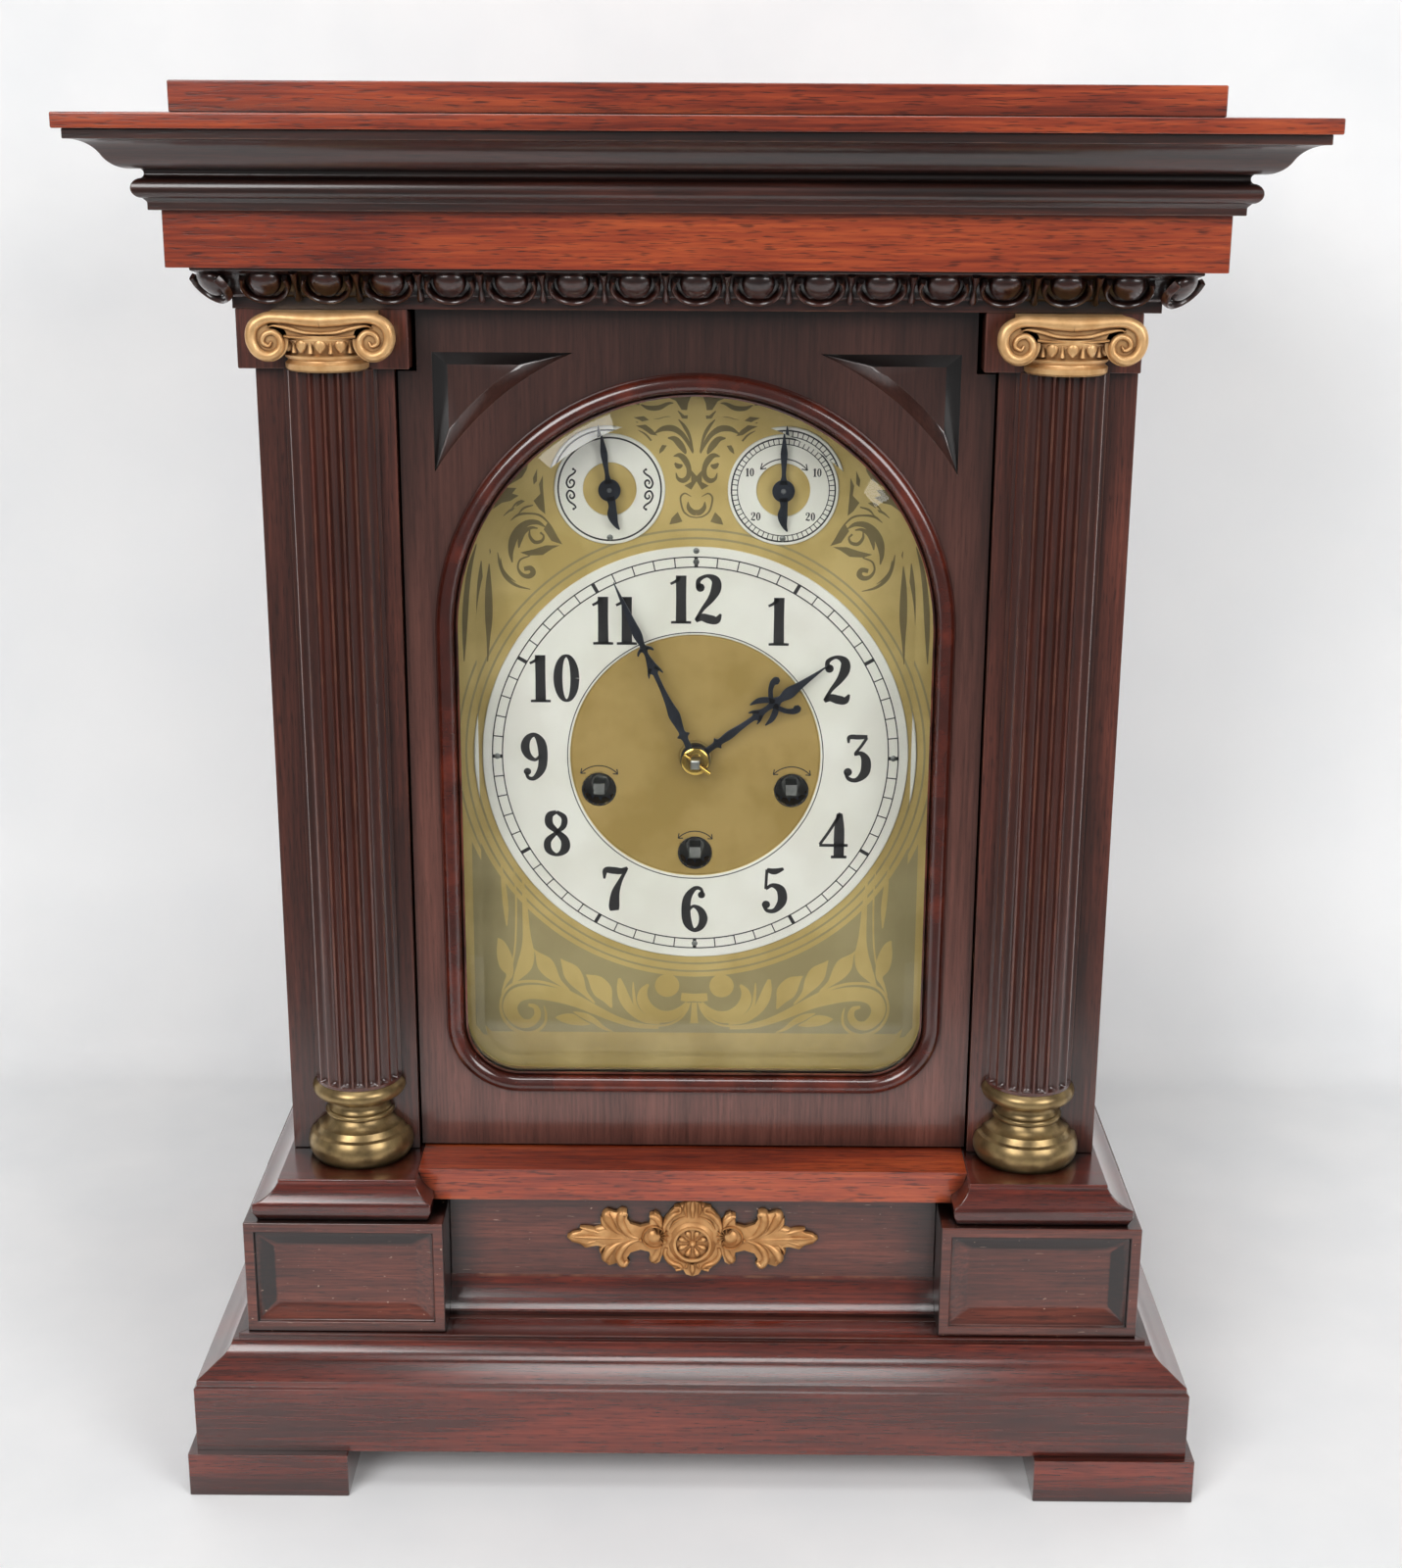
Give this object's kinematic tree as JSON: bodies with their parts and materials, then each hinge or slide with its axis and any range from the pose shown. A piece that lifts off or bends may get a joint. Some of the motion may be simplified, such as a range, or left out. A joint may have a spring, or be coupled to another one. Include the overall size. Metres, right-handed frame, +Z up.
{
  "type": "mantel clock",
  "caption": "Architectural mantel clock: wooden case with fluted half columns, arched glazed door, brass dial, wound movement and pendulum, door at the back.",
  "frame": {"origin": "on the floor under the middle of the clock's overall box", "axes": "+X to the right seen from the front, +Y to the back, +Z up"},
  "size_m": [0.36, 0.235, 0.4505],
  "materials": {
    "mahogany": "polished dark red-brown",
    "red_mahogany": "polished bright red-brown",
    "pine": "stained and waxed",
    "brass": "cast and lacquered",
    "dial_brass": "etched and lacquered",
    "silvered_brass": "matt silvered",
    "blued_steel": "blued",
    "movement_brass": "brushed",
    "steel": "turned",
    "glass": "clear, bevelled edge"
  },
  "bodies": {
    "case": {"block_feet": "mahogany", "base_mouldings": "mahogany", "base_board": "pine", "pedestals": "mahogany", "plinth_boards": "mahogany", "pedestal_caps": "mahogany", "shelf_board": "red_mahogany", "case_sides": "mahogany", "pilasters": "mahogany", "fluted_columns": "mahogany", "column_bases": "brass", "capitals": "brass", "architrave_board": "mahogany", "egg_and_dart": "mahogany", "frieze_boards": "red_mahogany", "cornice": "mahogany", "top_board": "red_mahogany", "crown_block": "red_mahogany", "brass_ornament": "brass", "dial_plate": "dial_brass", "chapter_ring": "silvered_brass", "subdial_rings": "silvered_brass", "front_plate": "movement_brass", "back_plate": "movement_brass", "seat_rails": "pine", "rod_gong": "steel", "back_frame": "pine", "back_hinges": "brass"},
    "door": {"door_frame": "mahogany", "door_pins": "brass", "door_bead": "mahogany", "bevelled_glass": "glass", "glass_strip": "mahogany"},
    "back_door": {"back_door": "pine", "back_door_leaves": "brass"},
    "turn_button": {"turn_button": "brass"},
    "minute": {"centre_wheel": "movement_brass", "minute_hand": "blued_steel", "hand_washer": "brass"},
    "hour": {"hour_wheel": "movement_brass", "hour_hand": "blued_steel"},
    "minute_wheel": {"minute_wheel": "movement_brass"},
    "time_barrel": {"time_barrel": "movement_brass"},
    "strike_barrel": {"strike_barrel": "movement_brass"},
    "chime_barrel": {"chime_barrel": "movement_brass"},
    "third_wheel": {"third_wheel": "movement_brass"},
    "escape_wheel": {"escape_wheel": "movement_brass"},
    "strike_wheel": {"strike_wheel": "movement_brass"},
    "chime_drum": {"chime_drum": "movement_brass"},
    "time_arbor": {"time_winding_arbor": "steel"},
    "strike_arbor": {"strike_winding_arbor": "steel"},
    "chime_arbor": {"chime_winding_arbor": "steel"},
    "anchor": {"anchor": "steel"},
    "pendulum": {"pendulum": "movement_brass"},
    "chime_hand": {"chime_hand": "blued_steel"},
    "regulator_hand": {"regulator_hand": "blued_steel"},
    "hammer_1": {"hammer_1": "steel"},
    "hammer_2": {"hammer_2": "steel"},
    "hammer_3": {"hammer_3": "steel"},
    "hammer_4": {"hammer_4": "steel"}
  },
  "joints": [
    {"name": "door_swing", "type": "hinge", "parent": "case", "child": "door", "pos_m": [0.0839, -0.0671, 0.1055], "axis": [0, 0, 1], "range_deg": [0, 90]},
    {"name": "back_door_swing", "type": "hinge", "parent": "case", "child": "back_door", "pos_m": [0.097, 0.114, 0.24375], "axis": [0, 0, -1], "range_deg": [0, 110]},
    {"name": "button_turn", "type": "hinge", "parent": "case", "child": "turn_button", "pos_m": [-0.105, 0.1115, 0.24375], "axis": [0, 1, 0], "range_deg": [0, 90]},
    {"name": "minute_turn", "type": "hinge", "parent": "case", "child": "minute", "pos_m": [0, 0, 0.2375], "axis": [0, 1, 0], "continuous": true},
    {"name": "hour_turn", "type": "hinge", "parent": "case", "child": "hour", "pos_m": [0, 0, 0.2375], "axis": [0, 1, 0], "continuous": true},
    {"name": "minute_wheel_turn", "type": "hinge", "parent": "case", "child": "minute_wheel", "pos_m": [0, 0, 0.2575], "axis": [0, 1, 0], "continuous": true},
    {"name": "time_barrel_turn", "type": "hinge", "parent": "case", "child": "time_barrel", "pos_m": [0, 0, 0.204], "axis": [0, 1, 0], "continuous": true},
    {"name": "third_turn", "type": "hinge", "parent": "case", "child": "third_wheel", "pos_m": [-0.00854, 0, 0.25864], "axis": [0, 1, 0], "continuous": true},
    {"name": "escape_turn", "type": "hinge", "parent": "case", "child": "escape_wheel", "pos_m": [0, 0, 0.2765], "axis": [0, 1, 0], "continuous": true},
    {"name": "strike_barrel_turn", "type": "hinge", "parent": "case", "child": "strike_barrel", "pos_m": [-0.032, 0, 0.226], "axis": [0, 1, 0], "continuous": true},
    {"name": "strike_wheel_turn", "type": "hinge", "parent": "case", "child": "strike_wheel", "pos_m": [-0.04346, 0, 0.25748], "axis": [0, 1, 0], "continuous": true},
    {"name": "chime_barrel_turn", "type": "hinge", "parent": "case", "child": "chime_barrel", "pos_m": [0.032, 0, 0.226], "axis": [0, 1, 0], "continuous": true},
    {"name": "chime_drum_turn", "type": "hinge", "parent": "case", "child": "chime_drum", "pos_m": [0.04346, 0, 0.25748], "axis": [0, 1, 0], "continuous": true},
    {"name": "time_winding", "type": "hinge", "parent": "case", "child": "time_arbor", "pos_m": [0, 0, 0.204], "axis": [0, 1, 0], "continuous": true},
    {"name": "strike_winding", "type": "hinge", "parent": "case", "child": "strike_arbor", "pos_m": [-0.032, 0, 0.226], "axis": [0, 1, 0], "continuous": true},
    {"name": "chime_winding", "type": "hinge", "parent": "case", "child": "chime_arbor", "pos_m": [0.032, 0, 0.226], "axis": [0, 1, 0], "continuous": true},
    {"name": "pendulum_swing", "type": "hinge", "parent": "case", "child": "pendulum", "pos_m": [0, 0.0245, 0.2945], "axis": [0, 1, 0], "range_deg": [-3, 3]},
    {"name": "anchor_rock", "type": "hinge", "parent": "case", "child": "anchor", "pos_m": [0, 0, 0.2945], "axis": [0, 1, 0], "range_deg": [-3, 3]},
    {"name": "chime_hand_turn", "type": "hinge", "parent": "case", "child": "chime_hand", "pos_m": [-0.0278, -0.0493, 0.3265], "axis": [0, 1, 0], "range_deg": [-90, 90]},
    {"name": "regulator_hand_turn", "type": "hinge", "parent": "case", "child": "regulator_hand", "pos_m": [0.0278, -0.0493, 0.3265], "axis": [0, 1, 0], "range_deg": [-150, 150]},
    {"name": "hammer_1_lift", "type": "hinge", "parent": "case", "child": "hammer_1", "pos_m": [-0.02, 0, 0.178], "axis": [0, 1, 0], "range_deg": [0, 15]},
    {"name": "hammer_2_lift", "type": "hinge", "parent": "case", "child": "hammer_2", "pos_m": [-0.02, 0, 0.178], "axis": [0, 1, 0], "range_deg": [0, 15]},
    {"name": "hammer_3_lift", "type": "hinge", "parent": "case", "child": "hammer_3", "pos_m": [-0.02, 0, 0.178], "axis": [0, 1, 0], "range_deg": [0, 15]},
    {"name": "hammer_4_lift", "type": "hinge", "parent": "case", "child": "hammer_4", "pos_m": [-0.02, 0, 0.178], "axis": [0, 1, 0], "range_deg": [0, 15]}
  ],
  "couplings": [
    {"joint": "minute_wheel_turn", "follows": "minute_turn", "ratio": -0.33333},
    {"joint": "hour_turn", "follows": "minute_turn", "ratio": 0.083333},
    {"joint": "time_barrel_turn", "follows": "minute_turn", "ratio": -0.26667},
    {"joint": "third_turn", "follows": "minute_turn", "ratio": -3.75},
    {"joint": "escape_turn", "follows": "minute_turn", "ratio": 13.125},
    {"joint": "strike_wheel_turn", "follows": "strike_barrel_turn", "ratio": -3.75},
    {"joint": "chime_drum_turn", "follows": "chime_barrel_turn", "ratio": -3.75},
    {"joint": "anchor_rock", "follows": "pendulum_swing", "ratio": 1}
  ]
}
